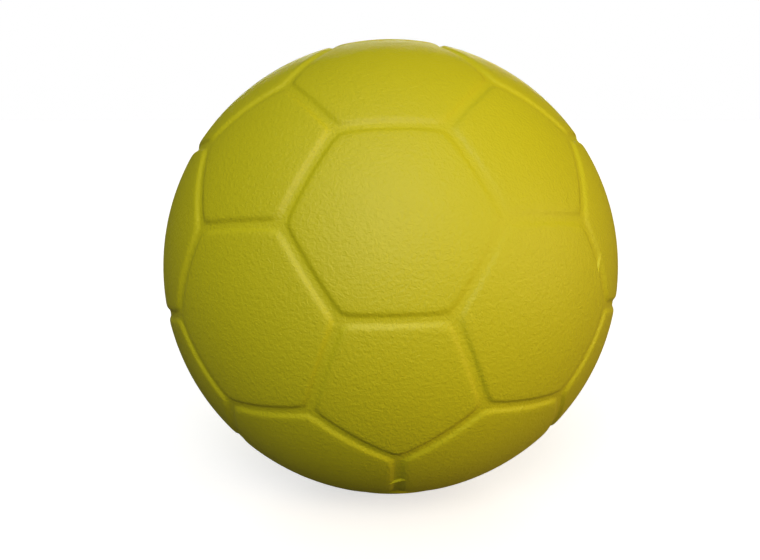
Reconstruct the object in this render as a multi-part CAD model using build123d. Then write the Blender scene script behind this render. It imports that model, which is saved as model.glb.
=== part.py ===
"""A moulded soft-foam ball with a thirty-two-panel football pattern: foam core, dense skin, colour coat.

The three layers are moulded in one shot, from the outside in: a thin coloured coat is sprayed into the
mould, a dense skin forms against it, and light foam fills the middle.  Everything is built about the
mould's own axis, which runs through the middle of one pentagon, and is then turned to the way it lies.
Millimetres, +Z up, origin at the ball's centre.
"""

import os
from math import acos, atan, cos, degrees, pi, sin, sqrt

from build123d import *

# The ball and its layers.  The skin is thinnest under the grooves.
BALL_DIAMETER = 63.0
COAT_THICKNESS = 0.2
SKIN_THICKNESS = 0.95

# The grooves between the panels, moulded by ridges in the cavity.
GROOVE_WIDTH = 1.3
GROOVE_DEPTH = 0.42
SHOULDER_RADIUS = 0.35
CORNER_RADIUS = 0.8

# The trimmed flash left standing across each groove, in the plane where the mould halves meet.
FLASH_THICKNESS = 0.4
FLASH_TRIM = 0.1

# How the ball lies: a turn about its mould axis, a tilt of that axis from upright, a turn about upright.
LIE_SPIN = 43.5
LIE_TILT = 56.9
LIE_TURN = -128.7

BALL_RADIUS = BALL_DIAMETER / 2
CORE_RADIUS = BALL_RADIUS - GROOVE_DEPTH - COAT_THICKNESS - SKIN_THICKNESS

# A panel is first cut as a wedge that starts well inside the ball and ends well outside it.
WEDGE_BASE = 0.6 * BALL_RADIUS
WEDGE_TOP = 1.2 * BALL_RADIUS

# The football pattern is a truncated icosahedron blown up to a sphere, worked out here for an edge of 1.
PATTERN_RADIUS = sqrt(58 + 18 * sqrt(5)) / 4
PENTAGON_RADIUS = 1 / (2 * sin(pi / 5))
HEXAGON_RADIUS = 1.0


def seam_angle(sides, panel_radius):
    """The angle at the ball's centre from the middle of a panel to the middle of one of its seams."""
    inner_radius = panel_radius * cos(pi / sides)
    return atan(inner_radius / sqrt(PATTERN_RADIUS**2 - panel_radius**2))


PENTAGON_ANGLE = seam_angle(5, PENTAGON_RADIUS)
HEXAGON_ANGLE = seam_angle(6, HEXAGON_RADIUS)

# Rings of panels about the mould axis: how many, angle from the axis, azimuth of the first, own turn.
FIFTH = 72.0
HALF_FIFTH = FIFTH / 2
UPPER_RING = degrees(acos(1 / sqrt(5)))
INNER_RING = degrees(PENTAGON_ANGLE + HEXAGON_ANGLE)
OUTER_RING = degrees(PENTAGON_ANGLE + 3 * HEXAGON_ANGLE)
PENTAGON_RINGS = [
    (1, 0.0, 0.0, HALF_FIFTH),
    (5, UPPER_RING, 0.0, 0.0),
    (5, 180.0 - UPPER_RING, HALF_FIFTH, HALF_FIFTH),
    (1, 180.0, 0.0, HALF_FIFTH),
]
HEXAGON_RINGS = [
    (5, INNER_RING, HALF_FIFTH, 0.0),
    (5, OUTER_RING, HALF_FIFTH, 0.0),
    (5, 180.0 - OUTER_RING, 0.0, 0.0),
    (5, 180.0 - INNER_RING, 0.0, 0.0),
]


def wedge_ring(sides, angle, inset, height):
    """The corners of a panel's wedge at one height above the ball's centre."""
    inner_radius = (height * sin(angle) - inset) / cos(angle)
    corner_radius = inner_radius / cos(pi / sides)
    turns = [2 * pi * (k + 0.5) / sides for k in range(sides)]
    return [(corner_radius * cos(t), corner_radius * sin(t), height) for t in turns]


def panel_wedge(sides, angle, inset):
    """A closed pyramid frustum whose sides stand `inset` inside the planes of the panel's seams.

    Each seam lies in a plane through the ball's centre, so the groove between two wedges has parallel
    walls, twice `inset` apart, all along its length.
    """
    base = wedge_ring(sides, angle, inset, WEDGE_BASE)
    top = wedge_ring(sides, angle, inset, WEDGE_TOP)
    faces = [Face(Wire.make_polygon(base[::-1])), Face(Wire.make_polygon(top))]
    for k in range(sides):
        n = (k + 1) % sides
        faces.append(Face(Wire.make_polygon([base[k], base[n], top[n], top[k]])))
    return Solid(Shell(faces))


def edges_on_sphere(shape, radius):
    """The edges of `shape` that lie on a sphere of this radius about the ball's centre."""
    return [edge for edge in shape.edges() if abs((edge @ 0.5).length - radius) < 1e-4]


def panel(sides, angle, depth):
    """One raised panel, `depth` under the moulded surface, with rounded corners and shoulders."""
    crown_radius = BALL_RADIUS - depth
    # The sphere's poles are turned to lie level, clear of the panel's middle.
    crown = Rot(0, 90, 0) * Solid.make_sphere(crown_radius)
    pad = (crown & panel_wedge(sides, angle, GROOVE_WIDTH / 2 + depth)).solid()
    straight = pad.edges().filter_by(GeomType.LINE)
    corners = [edge for edge in straight if abs(edge.tangent_at(0.5).Z) > 0.5]
    pad = pad.fillet(CORNER_RADIUS - depth, corners)
    return pad.fillet(SHOULDER_RADIUS - depth, edges_on_sphere(pad, crown_radius))


def panels(depth):
    """All thirty-two panels about the mould axis, as separate solids."""
    kinds = [(5, PENTAGON_ANGLE, PENTAGON_RINGS), (6, HEXAGON_ANGLE, HEXAGON_RINGS)]
    placed = []
    for sides, angle, rings in kinds:
        pad = panel(sides, angle, depth)
        for count, polar, first, own_turn in rings:
            for k in range(count):
                azimuth = first + 360 * k / count
                placed.append(Rot(0, 0, azimuth) * Rot(0, polar, 0) * Rot(0, 0, own_turn) * pad)
    return placed


def grooved_ball(depth):
    """The moulded form `depth` under its surface: a ball to the groove floors, with the panels on it."""
    floor_ball = Solid.make_sphere(BALL_RADIUS - GROOVE_DEPTH - depth)
    return floor_ball.fuse(*panels(depth)).solid()


def flash_web():
    """The thin disc of flash in the mould's parting plane, trimmed just under the panels."""
    disc = Solid.make_cylinder(BALL_RADIUS - FLASH_TRIM, FLASH_THICKNESS)
    return Pos(0, 0, -FLASH_THICKNESS / 2) * disc


def colour_coat(inner_form):
    """The coloured outer layer, with the trimmed flash that stands across the grooves."""
    return grooved_ball(0.0).fuse(flash_web()).solid() - inner_form


def skin(inner_form, core):
    """The dense skin: grooved where it meets the coat, and a plain ball where it meets the foam."""
    return inner_form - core


def foam_core():
    """The light foam that fills the ball."""
    return Solid.make_sphere(CORE_RADIUS)


def build():
    """Every layer, turned from the mould's axis to the way the ball lies."""
    lie = Rot(0, 0, LIE_TURN) * Rot(0, LIE_TILT, 0) * Rot(0, 0, LIE_SPIN)
    inner_form = grooved_ball(COAT_THICKNESS)
    core = foam_core()
    layers = {"colour_coat": colour_coat(inner_form), "skin": skin(inner_form, core), "foam_core": core}
    return {name: lie * layer for name, layer in layers.items()}


os.makedirs("parts", exist_ok=True)
for name, layer in build().items():
    export_step(layer, os.path.join("parts", name + ".step"))
    print(name, "volume", round(layer.volume, 1), "faces", len(layer.faces()))
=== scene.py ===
"""The looks of a moulded soft-foam ball with a football panel pattern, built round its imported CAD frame."""

import math

import bmesh
import bpy
import numpy as np
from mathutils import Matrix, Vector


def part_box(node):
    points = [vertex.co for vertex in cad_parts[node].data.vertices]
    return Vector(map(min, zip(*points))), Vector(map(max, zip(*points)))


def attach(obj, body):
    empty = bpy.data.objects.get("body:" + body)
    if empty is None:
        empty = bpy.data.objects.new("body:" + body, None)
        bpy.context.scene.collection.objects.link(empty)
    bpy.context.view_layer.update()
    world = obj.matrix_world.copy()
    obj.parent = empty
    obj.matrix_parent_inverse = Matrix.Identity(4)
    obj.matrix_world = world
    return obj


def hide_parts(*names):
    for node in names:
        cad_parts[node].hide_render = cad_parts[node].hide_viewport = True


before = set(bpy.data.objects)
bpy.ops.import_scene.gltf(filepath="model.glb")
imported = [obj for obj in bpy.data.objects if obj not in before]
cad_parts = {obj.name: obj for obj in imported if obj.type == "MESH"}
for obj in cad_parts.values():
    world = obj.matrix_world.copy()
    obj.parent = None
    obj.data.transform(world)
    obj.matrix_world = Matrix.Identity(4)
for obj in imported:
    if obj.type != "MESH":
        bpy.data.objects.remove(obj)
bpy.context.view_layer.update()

# ---------------------------------------------------------------------------------------------------
# The ball's surface.  Soft foam, moulded in one shot behind a thin yellow coat.  Twelve pentagons and
# twenty hexagons stand between shallow rounded grooves, as on a stitched football, but all one skin.

coat_low, coat_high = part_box("colour_coat")
BALL_RADIUS = max(coat_high.x - coat_low.x, coat_high.y - coat_low.y, coat_high.z - coat_low.z) / 2
RIDGE_ROOM = 0.00004
GROOVE_HALF_WIDTH = 0.00160
TROUGH_HALF_WIDTH = 0.00102
FLOOR_HALF_WIDTH = 0.00025
TROUGH_SHARE = 0.70
GROOVE_DEPTH = 0.00035
CORNER_SOFTNESS = 0.00035
LUMP_HEIGHT = 0.000018

# The sprayed coat lies thickest on one side, where it half fills the grooves.
THICK_COAT_AZIMUTH = math.radians(27)
THICK_COAT_HEIGHT = math.radians(19)
THICK_COAT_REACH = math.radians(25)
THICK_COAT_FILL = 0.72

# How the ball lies: a turn about the mould's axis, a tilt of that axis from upright, a turn about upright.
LIE_SPIN = math.radians(43.5)
LIE_TILT = math.radians(56.9)
LIE_TURN = math.radians(-128.7)

STEPS_ALONG_SEAM = 22
RINGS_IN_GROOVE = 13
RINGS_IN_PANEL = 12
RING_CROWDING = 1.25


def turn_about_z(angle):
    """The 3 by 3 matrix that turns by an angle about the upright axis."""
    c, s = math.cos(angle), math.sin(angle)
    return np.array([[c, -s, 0.0], [s, c, 0.0], [0.0, 0.0, 1.0]])


def turn_about_y(angle):
    """The 3 by 3 matrix that turns by an angle about the Y axis."""
    c, s = math.cos(angle), math.sin(angle)
    return np.array([[c, 0.0, s], [0.0, 1.0, 0.0], [-s, 0.0, c]])


def seam_angle(sides):
    """The angle at the ball's centre from a panel's middle to the middle of its seam.

    The pattern is a truncated icosahedron of edge 1, whose corners lie sqrt(58 + 18 sqrt 5) / 4 from
    its centre; the angle's tangent is the panel's inner radius over its flat face's distance.
    """
    pattern_radius = math.sqrt(58 + 18 * math.sqrt(5)) / 4
    corner_radius = 1 / (2 * math.sin(math.pi / sides))
    inner_radius = corner_radius * math.cos(math.pi / sides)
    return math.atan(inner_radius / math.sqrt(pattern_radius**2 - corner_radius**2))


def panel_directions(sides):
    """Unit directions over one panel whose middle is straight up, by ring inwards and by place along it.

    Rings run parallel to the seams.  On a ring, a direction at azimuth a from a side's middle and polar
    angle p lies an angle d inside that side's great circle when
    sin d = sin(seam) cos p - cos(seam) cos(a) sin p, which is solved for p in closed form.
    """
    seam = seam_angle(sides)
    half_arc = math.atan(math.tan(math.pi / sides) * math.sin(seam))
    along = np.linspace(-half_arc, half_arc, STEPS_ALONG_SEAM, endpoint=False)
    swing = np.arctan2(np.sin(along), np.sin(seam) * np.cos(along))
    groove = GROOVE_HALF_WIDTH / BALL_RADIUS
    in_groove = np.linspace(0.0, groove, RINGS_IN_GROOVE + 1)
    inwards = np.linspace(0.0, 1.0, RINGS_IN_PANEL + 1)[1:-1] ** RING_CROWDING
    in_panel = groove + (seam - groove) * inwards
    inset = np.concatenate([in_groove, in_panel])[:, None]
    across = math.cos(seam) * np.cos(swing)[None, :]
    polar = np.arccos(np.sin(inset) / np.hypot(math.sin(seam), across)) - np.arctan2(across, math.sin(seam))
    azimuth = swing[None, :] + (2 * math.pi / sides) * np.arange(sides)[:, None]
    azimuth = azimuth.reshape(-1)[None, :]
    polar = np.tile(polar, (1, sides))
    x = np.sin(polar) * np.cos(azimuth)
    y = np.sin(polar) * np.sin(azimuth)
    z = np.cos(polar)
    return np.stack([x, y, z], axis=-1)


def seam_distance(directions, sides):
    """How far inside its panel's seams each direction lies, with the corners rounded.

    The distance to one side is the angle to its great circle; the distances to all sides are joined by
    a soft minimum, -s log(sum(exp(-d / s))), which rounds the meeting of two sides.
    """
    seam = seam_angle(sides)
    turns = 2 * math.pi * np.arange(sides) / sides
    inward = np.stack([-math.cos(seam) * np.cos(turns), -math.cos(seam) * np.sin(turns)], axis=-1)
    inward = np.concatenate([inward, np.full((sides, 1), math.sin(seam))], axis=-1)
    each = np.arcsin(np.clip(directions @ inward.T, -1, 1))
    softness = CORNER_SOFTNESS / BALL_RADIUS
    return np.maximum(-softness * np.log(np.exp(-each / softness).sum(axis=-1)), 0.0)


def half_cosine(distance, floor, edge):
    """1 up to `floor`, 0 beyond `edge`, and half a cosine wave between them."""
    return 0.5 + 0.5 * np.cos(math.pi * np.clip((distance - floor) / (edge - floor), 0.0, 1.0))


def groove_share(distance):
    """How deep the groove is, from 0 at its edge to 1 on its floor: a trough inside a wider soft dip."""
    across = distance * BALL_RADIUS
    trough = half_cosine(across, FLOOR_HALF_WIDTH, TROUGH_HALF_WIDTH)
    dip = half_cosine(across, 0.0, GROOVE_HALF_WIDTH)
    return TROUGH_SHARE * trough + (1 - TROUGH_SHARE) * dip


def gentle_lumps(directions):
    """A slow unevenness between -1 and 1: the mean of three crossing sine waves over the ball."""
    x, y, z = directions[..., 0], directions[..., 1], directions[..., 2]
    first = np.sin(5.1 * x + 2.3 * z + 0.4)
    second = np.sin(6.3 * y - 3.7 * x + 1.9)
    third = np.sin(7.9 * z + 4.4 * y + 2.7)
    return (first + second + third) / 3


def coat_fill(directions):
    """The share of the groove left open by the coat: 1 less a bell, fill exp(-(angle / reach) squared)."""
    level = math.cos(THICK_COAT_HEIGHT)
    towards = np.array([
        level * math.sin(THICK_COAT_AZIMUTH),
        -level * math.cos(THICK_COAT_AZIMUTH),
        math.sin(THICK_COAT_HEIGHT),
    ])
    angle = np.arccos(np.clip(directions @ towards, -1, 1))
    return 1 - THICK_COAT_FILL * np.exp(-(angle / THICK_COAT_REACH) ** 2)


def panel_places():
    """For each panel, its number of sides and the matrix that turns it from upright to its place."""
    fifth = 2 * math.pi / 5
    pentagon, hexagon = seam_angle(5), seam_angle(6)
    upper = math.acos(1 / math.sqrt(5))
    inner, outer = pentagon + hexagon, pentagon + 3 * hexagon
    rings = [
        (5, 1, 0.0, 0.0, fifth / 2),
        (5, 5, upper, 0.0, 0.0),
        (5, 5, math.pi - upper, fifth / 2, fifth / 2),
        (5, 1, math.pi, 0.0, fifth / 2),
        (6, 5, inner, fifth / 2, 0.0),
        (6, 5, outer, fifth / 2, 0.0),
        (6, 5, math.pi - outer, 0.0, 0.0),
        (6, 5, math.pi - inner, 0.0, 0.0),
    ]
    for sides, count, polar, first, own_turn in rings:
        for k in range(count):
            yield sides, turn_about_z(first + k * fifth) @ turn_about_y(polar) @ turn_about_z(own_turn)


def grid_faces(rings, around):
    """Quads between rings of a closed fan, and triangles from the last ring to the middle point."""
    ring = np.arange(rings - 1)[:, None] * around
    here = np.arange(around)[None, :]
    there = (here + 1) % around
    quads = np.stack([ring + here, ring + there, ring + around + there, ring + around + here], axis=-1)
    last = (rings - 1) * around
    middle = np.full(around, rings * around)
    fan = np.stack([last + here[0], last + there[0], middle], axis=-1)
    return quads.reshape(-1, 4), fan


LIE = turn_about_z(LIE_TURN) @ turn_about_y(LIE_TILT) @ turn_about_z(LIE_SPIN)

points, depths, faces = [], [], []
for sides, place in panel_places():
    directions = panel_directions(sides)
    rings, around = directions.shape[:2]
    flat = np.concatenate([directions.reshape(-1, 3), [[0.0, 0.0, 1.0]]])
    share = groove_share(seam_distance(flat, sides))
    flat = flat @ (LIE @ place).T
    share = share * coat_fill(flat)
    radius = BALL_RADIUS - RIDGE_ROOM - GROOVE_DEPTH * share - LUMP_HEIGHT * (1 + gentle_lumps(flat))
    start = sum(len(p) for p in points)
    quads, fan = grid_faces(rings, around)
    points.append(flat * radius[:, None])
    depths.append(share)
    faces += [tuple(q) for q in (quads + start).tolist()] + [tuple(t) for t in (fan + start).tolist()]

ball_mesh = bpy.data.meshes.new("ball_surface")
ball_mesh.from_pydata(np.concatenate(points).tolist(), [], faces)
groove_mark = ball_mesh.attributes.new("groove", "FLOAT", "POINT")
groove_mark.data.foreach_set("value", np.concatenate(depths).astype(np.float32))
work = bmesh.new()
work.from_mesh(ball_mesh)
bmesh.ops.remove_doubles(work, verts=work.verts, dist=BALL_RADIUS * 1e-5)
bmesh.ops.recalc_face_normals(work, faces=work.faces)
work.to_mesh(ball_mesh)
work.free()
ball_mesh.shade_smooth()
ball_surface = bpy.data.objects.new("ball_surface", ball_mesh)
bpy.context.scene.collection.objects.link(ball_surface)

# The coat is matt flexible paint with a fine leather grain from the mould's etched wall, and a few
# pinholes where air was trapped.  Its yellow is a little uneven, and it is painted slightly darker in the
# grooves as painted shade.
COAT_YELLOW = (0.610, 0.585, 0.006, 1.0)
COAT_DEEP_YELLOW = (0.580, 0.550, 0.004, 1.0)
COAT_GROOVE_SHADE_YELLOW = (0.605, 0.575, 0.005, 1.0)
COAT_ROUGHNESS = 0.55
GRAIN_SIZE = 0.00042
GRAIN_HEIGHT = 0.000088
WRINKLE_SIZE = 0.0008
WRINKLE_HEIGHT = 0.000040
MOTTLE_SIZE = 0.009
PINHOLE_SPACING = 0.009
PINHOLE_RADIUS = 0.000144
PINHOLE_DEPTH = 0.00012


def node(tree, kind, **inputs):
    """Adds a shader node and sets the input sockets named, with underscores for spaces."""
    made = tree.nodes.new(kind)
    for name, value in inputs.items():
        made.inputs[name.replace("_", " ")].default_value = value
    return made


def plain_material(name, colour, roughness):
    """A node material whose principled shader has this colour and roughness, and its tree and shader."""
    material = bpy.data.materials.new(name)
    material.use_nodes = True
    shader = material.node_tree.nodes["Principled BSDF"]
    shader.inputs["Base Color"].default_value = colour
    shader.inputs["Roughness"].default_value = roughness
    return material, material.node_tree, shader


def relief(tree, height, distance, below=None):
    """A bump node that raises the surface by `distance` where `height` is 1, on top of an earlier one."""
    bump = node(tree, "ShaderNodeBump", Strength=1.0, Distance=distance)
    tree.links.new(height, bump.inputs["Height"])
    if below is not None:
        tree.links.new(below.outputs["Normal"], bump.inputs["Normal"])
    return bump


def blend_colour(tree, share, low, high):
    """Mixes two colours, or an earlier mix and a colour, by a share from 0 to 1."""
    mix = tree.nodes.new("ShaderNodeMix")
    mix.data_type = "RGBA"
    tree.links.new(share, mix.inputs[0])
    if isinstance(low, tuple):
        mix.inputs[6].default_value = low
    else:
        tree.links.new(low, mix.inputs[6])
    mix.inputs[7].default_value = high
    return mix.outputs[2]


coat, tree, shader = plain_material("matt_yellow_coat", COAT_YELLOW, COAT_ROUGHNESS)
place = tree.nodes.new("ShaderNodeTexCoord").outputs["Object"]
mottle = node(tree, "ShaderNodeTexNoise", Scale=1 / MOTTLE_SIZE, Detail=4.0, Roughness=0.6)
tree.links.new(place, mottle.inputs["Vector"])
groove = tree.nodes.new("ShaderNodeAttribute")
groove.attribute_name = "groove"
uneven = blend_colour(tree, mottle.outputs["Fac"], COAT_DEEP_YELLOW, COAT_YELLOW)
# Painted shade: the yellow turns slightly darker as the groove deepens.
groove_shaded = blend_colour(tree, groove.outputs["Fac"], uneven, COAT_GROOVE_SHADE_YELLOW)
tree.links.new(groove_shaded, shader.inputs["Base Color"])

grain = node(tree, "ShaderNodeTexNoise", Scale=1 / GRAIN_SIZE, Detail=2.0, Roughness=0.55, Distortion=0.6)
tree.links.new(place, grain.inputs["Vector"])
wrinkle = node(tree, "ShaderNodeTexNoise", Scale=1 / WRINKLE_SIZE, Detail=1.0, Distortion=1.2)
tree.links.new(place, wrinkle.inputs["Vector"])
pinhole = node(tree, "ShaderNodeTexVoronoi", Scale=1 / PINHOLE_SPACING)
tree.links.new(place, pinhole.inputs["Vector"])
pit = tree.nodes.new("ShaderNodeMapRange")
pit.interpolation_type = "SMOOTHSTEP"
pit.inputs["From Max"].default_value = PINHOLE_RADIUS / PINHOLE_SPACING
tree.links.new(pinhole.outputs["Distance"], pit.inputs["Value"])
fine = relief(tree, grain.outputs["Fac"], GRAIN_HEIGHT)
coarse = relief(tree, wrinkle.outputs["Fac"], WRINKLE_HEIGHT, fine)
pitted = relief(tree, pit.outputs["Result"], PINHOLE_DEPTH, coarse)
tree.links.new(pitted.outputs["Normal"], shader.inputs["Normal"])

ball_mesh.materials.append(coat)
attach(ball_surface, "root")
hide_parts("colour_coat")

# ---------------------------------------------------------------------------------------------------
# The flash.  Foam and coat squeeze out where the two mould halves meet, square to the mould's axis.  It is
# trimmed by hand: a faint line is left over the panels, and a thin web stands across each groove.

FLASH_HALF_FOOT = 0.00030
FLASH_LINE_HEIGHT = 0.000016
FLASH_RAGGEDNESS = 0.000012
FLASH_FOOT_DEPTH = 0.00003
FLASH_FOOT_FLARE = 1.1
FLASH_ROOT_DEPTH = 0.0007
FLASH_STEPS_AROUND = 2400
FLASH_POINTS_ACROSS = 9

# How far down the groove each of the ten webs was trimmed, from 0 at the panels to 1 on the groove's floor.
WEB_TRIM = [0.97, 0.15, 0.80, 0.42, 0.90, 0.35, 0.60, 0.28, 0.85, 0.22]


def groove_at(directions):
    """How deep the groove is at any directions in the mould's frame, from 0 on a panel to 1.

    A direction lies inside the panel whose seams it is furthest inside of, so its distance to the
    pattern is the largest of its distances to the panels that it faces within about 30 degrees.
    """
    faces_it = math.cos(math.radians(31.8))
    inside = np.zeros(len(directions))
    for sides, place in panel_places():
        facing = directions @ place
        distance = seam_distance(facing, sides)
        inside = np.maximum(inside, np.where(facing[:, 2] > faces_it, distance, 0.0))
    return groove_share(inside) * coat_fill(directions @ LIE.T)


azimuth = 2 * math.pi * np.arange(FLASH_STEPS_AROUND) / FLASH_STEPS_AROUND
across = np.linspace(-1.0, 1.0, FLASH_POINTS_ACROSS)
ring = np.stack([np.cos(azimuth), np.sin(azimuth), np.zeros(FLASH_STEPS_AROUND)], axis=-1)
groove_here = groove_at(ring)

# The webs stand one in each tenth of the ring.  The line's height swells and fades between 0 and 1 along
# it, as one sine times another, and the webs' edges are ragged in the same way, only finer.
web = np.floor(len(WEB_TRIM) * azimuth / (2 * math.pi)).astype(int)
trimmed = np.array(WEB_TRIM)[web] * GROOVE_DEPTH * groove_here
swell = 0.5 + 0.5 * np.sin(7 * azimuth + 1.3) * np.sin(23 * azimuth)
ragged = FLASH_RAGGEDNESS * np.sin(311 * azimuth) * np.sin(97 * azimuth + 0.6) * groove_here

# Across the flash the section is a bell, (1 - x squared) squared, from a foot just under the panel or
# below the groove's floor up to the crest, closed by a flat root well inside the ball.
panel_top = BALL_RADIUS - RIDGE_ROOM - LUMP_HEIGHT * (1 + gentle_lumps(ring @ LIE.T))
crest = panel_top + FLASH_LINE_HEIGHT * swell - trimmed + ragged
foot = panel_top - FLASH_FOOT_DEPTH - FLASH_FOOT_FLARE * GROOVE_DEPTH * groove_here
top_radius = foot[:, None] + (crest - foot)[:, None] * (1 - across**2)[None, :] ** 2
root_radius = np.full((FLASH_STEPS_AROUND, 2), BALL_RADIUS - FLASH_ROOT_DEPTH)
section_radius = np.concatenate([top_radius, root_radius], axis=1)
section_height = FLASH_HALF_FOOT * np.concatenate([across, [1.0, -1.0]])
flash_points = np.stack([
    section_radius * np.cos(azimuth)[:, None],
    section_radius * np.sin(azimuth)[:, None],
    np.tile(section_height, (FLASH_STEPS_AROUND, 1)),
], axis=-1)
flash_points = flash_points.reshape(-1, 3) @ LIE.T

corners = len(section_height)
step = np.arange(FLASH_STEPS_AROUND)[:, None]
next_step = (step + 1) % FLASH_STEPS_AROUND
corner = np.arange(corners)[None, :]
next_corner = (corner + 1) % corners
flash_faces = np.stack([
    step * corners + corner,
    next_step * corners + corner,
    next_step * corners + next_corner,
    step * corners + next_corner,
], axis=-1)

flash_mesh = bpy.data.meshes.new("flash_line")
flash_mesh.from_pydata(flash_points.tolist(), [], flash_faces.reshape(-1, 4).tolist())
work = bmesh.new()
work.from_mesh(flash_mesh)
bmesh.ops.recalc_face_normals(work, faces=work.faces)
work.to_mesh(flash_mesh)
work.free()
flash_mesh.shade_smooth()
flash_line = bpy.data.objects.new("flash_line", flash_mesh)
bpy.context.scene.collection.objects.link(flash_line)
flash_mesh.materials.append(coat)
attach(flash_line, "root")
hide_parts("colour_coat")

# ---------------------------------------------------------------------------------------------------
# The skin and the foam core lie under the coat.  They are one moulding: dense where it met the mould,
# light and open-looking within.  Both are the CAD solids themselves.

SKIN_YELLOW = (0.72, 0.62, 0.26, 1.0)
SKIN_ROUGHNESS = 0.6
SKIN_CLOUD_SIZE = 0.0025
SKIN_CLOUD_HEIGHT = 0.00002
CORE_CREAM = (0.80, 0.73, 0.48, 1.0)
CORE_ROUGHNESS = 0.85
CELL_SIZE = 0.0004
CELL_DEPTH = 0.0001

skin_look, tree, shader = plain_material("dense_foam_skin", SKIN_YELLOW, SKIN_ROUGHNESS)
place = tree.nodes.new("ShaderNodeTexCoord").outputs["Object"]
cloud = node(tree, "ShaderNodeTexNoise", Scale=1 / SKIN_CLOUD_SIZE, Detail=3.0)
tree.links.new(place, cloud.inputs["Vector"])
clouded = relief(tree, cloud.outputs["Fac"], SKIN_CLOUD_HEIGHT)
tree.links.new(clouded.outputs["Normal"], shader.inputs["Normal"])

core_look, tree, shader = plain_material("light_foam", CORE_CREAM, CORE_ROUGHNESS)
place = tree.nodes.new("ShaderNodeTexCoord").outputs["Object"]
cells = node(tree, "ShaderNodeTexVoronoi", Scale=1 / CELL_SIZE)
tree.links.new(place, cells.inputs["Vector"])
pitted = relief(tree, cells.outputs["Distance"], CELL_DEPTH)
tree.links.new(pitted.outputs["Normal"], shader.inputs["Normal"])

for name, look in (("skin", skin_look), ("foam_core", core_look)):
    for material_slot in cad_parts[name].material_slots:
        material_slot.material = look

# ---------------------------------------------------------------------------------------------------
# The studio: a pale floor under the ball, a white surround, and soft lamps mostly from the front.

FLOOR_REACH = 3.0
FLOOR_BOUNCE = (0.10, 0.09, 0.07, 1.0)
FLOOR_PALE = (0.80, 0.80, 0.80, 1.0)
FLOOR_LIFT = 0.62
FLOOR_ROUGHNESS = 0.9
WHITE = (1.0, 1.0, 1.0, 1.0)
SURROUND_GLOW = (1.0, 0.95, 0.88, 1.0)
SURROUND_STRENGTH = 0.04

floor_height = coat_low.z
floor_mesh = bpy.data.meshes.new("floor")
floor_corners = [(-1, -1), (1, -1), (1, 1), (-1, 1)]
floor_points = [(FLOOR_REACH * x, FLOOR_REACH * y, floor_height) for x, y in floor_corners]
floor_mesh.from_pydata(floor_points, [], [(0, 1, 2, 3)])
floor = bpy.data.objects.new("floor", floor_mesh)
bpy.context.scene.collection.objects.link(floor)


def white_to_the_camera(tree, lit, seen, output):
    """Shows `seen` to camera rays and `lit` to every other ray."""
    path = tree.nodes.new("ShaderNodeLightPath")
    choose = tree.nodes.new("ShaderNodeMixShader")
    tree.links.new(path.outputs["Is Camera Ray"], choose.inputs[0])
    tree.links.new(lit.outputs[0], choose.inputs[1])
    tree.links.new(seen.outputs[0], choose.inputs[2])
    tree.links.new(choose.outputs[0], tree.nodes[output].inputs["Surface"])


# The camera sees a pale diffuse floor lifted to white, so the ball's shadow stays on it.
floor_look, tree, shader = plain_material("pale_floor", FLOOR_BOUNCE, FLOOR_ROUGHNESS)
pale = node(tree, "ShaderNodeBsdfDiffuse", Color=FLOOR_PALE)
lift = node(tree, "ShaderNodeEmission", Color=WHITE, Strength=FLOOR_LIFT)
lifted = tree.nodes.new("ShaderNodeAddShader")
tree.links.new(pale.outputs[0], lifted.inputs[0])
tree.links.new(lift.outputs[0], lifted.inputs[1])
white_to_the_camera(tree, shader, lifted, "Material Output")
floor_mesh.materials.append(floor_look)

world = bpy.data.worlds.new("studio")
bpy.context.scene.world = world
world.use_nodes = True
tree = world.node_tree
glow = tree.nodes["Background"]
glow.inputs["Color"].default_value = SURROUND_GLOW
glow.inputs["Strength"].default_value = SURROUND_STRENGTH
surround = node(tree, "ShaderNodeBackground", Color=WHITE, Strength=1.0)
white_to_the_camera(tree, glow, surround, "World Output")


def lamp(name, azimuth, elevation, strength, softness, colour=(1.0, 1.0, 1.0)):
    """A broad distant lamp, in degrees: azimuth from the front towards the right, height, and softness."""
    data = bpy.data.lights.new(name, "SUN")
    data.energy = strength
    data.angle = math.radians(softness)
    data.color = colour
    made = bpy.data.objects.new(name, data)
    made.rotation_euler = (math.radians(90 - elevation), 0.0, math.radians(azimuth))
    bpy.context.scene.collection.objects.link(made)


WARM = (1.0, 0.70, 0.38)
lamp("front_lamp", -4, 29, 1.38, 40)
lamp("top_lamp", -5, 60, 0.70, 50)
lamp("warm_lamp", 35, 27, 0.52, 40, WARM)
lamp("side_lamp", 70, 10, 0.84, 20, WARM)
lamp("grazing_lamp", 80, 5, 0.26, 30, WARM)
lamp("back_lamp", 180, 8, 1.70, 30)

# ---------------------------------------------------------------------------------------------------
# The camera stands close in front, a little above the ball.

CAMERA_DISTANCE = 4.139 * BALL_RADIUS
CAMERA_ELEVATION = math.radians(10)
BALL_SHARE_OF_WIDTH = 0.599737
CAMERA_SHIFT_X = -0.0140
CAMERA_SHIFT_Y = -0.0179
SENSOR_WIDTH = 36.0

camera_data = bpy.data.cameras.new("camera")
camera = bpy.data.objects.new("camera", camera_data)
bpy.context.scene.collection.objects.link(camera)
bpy.context.scene.camera = camera
outline_slope = 1 / math.sqrt((CAMERA_DISTANCE / BALL_RADIUS) ** 2 - 1)
camera_data.sensor_width = SENSOR_WIDTH
camera_data.lens = SENSOR_WIDTH * BALL_SHARE_OF_WIDTH / (2 * outline_slope)
camera_data.shift_x = CAMERA_SHIFT_X
camera_data.shift_y = CAMERA_SHIFT_Y
camera_data.clip_start = 0.001
camera_data.clip_end = 20.0
camera_back = CAMERA_DISTANCE * math.cos(CAMERA_ELEVATION)
camera_up = CAMERA_DISTANCE * math.sin(CAMERA_ELEVATION)
camera.location = (0.0, -camera_back, camera_up)
camera.rotation_euler = (math.pi / 2 - CAMERA_ELEVATION, 0.0, 0.0)

bpy.context.scene.view_settings.view_transform = "Standard"
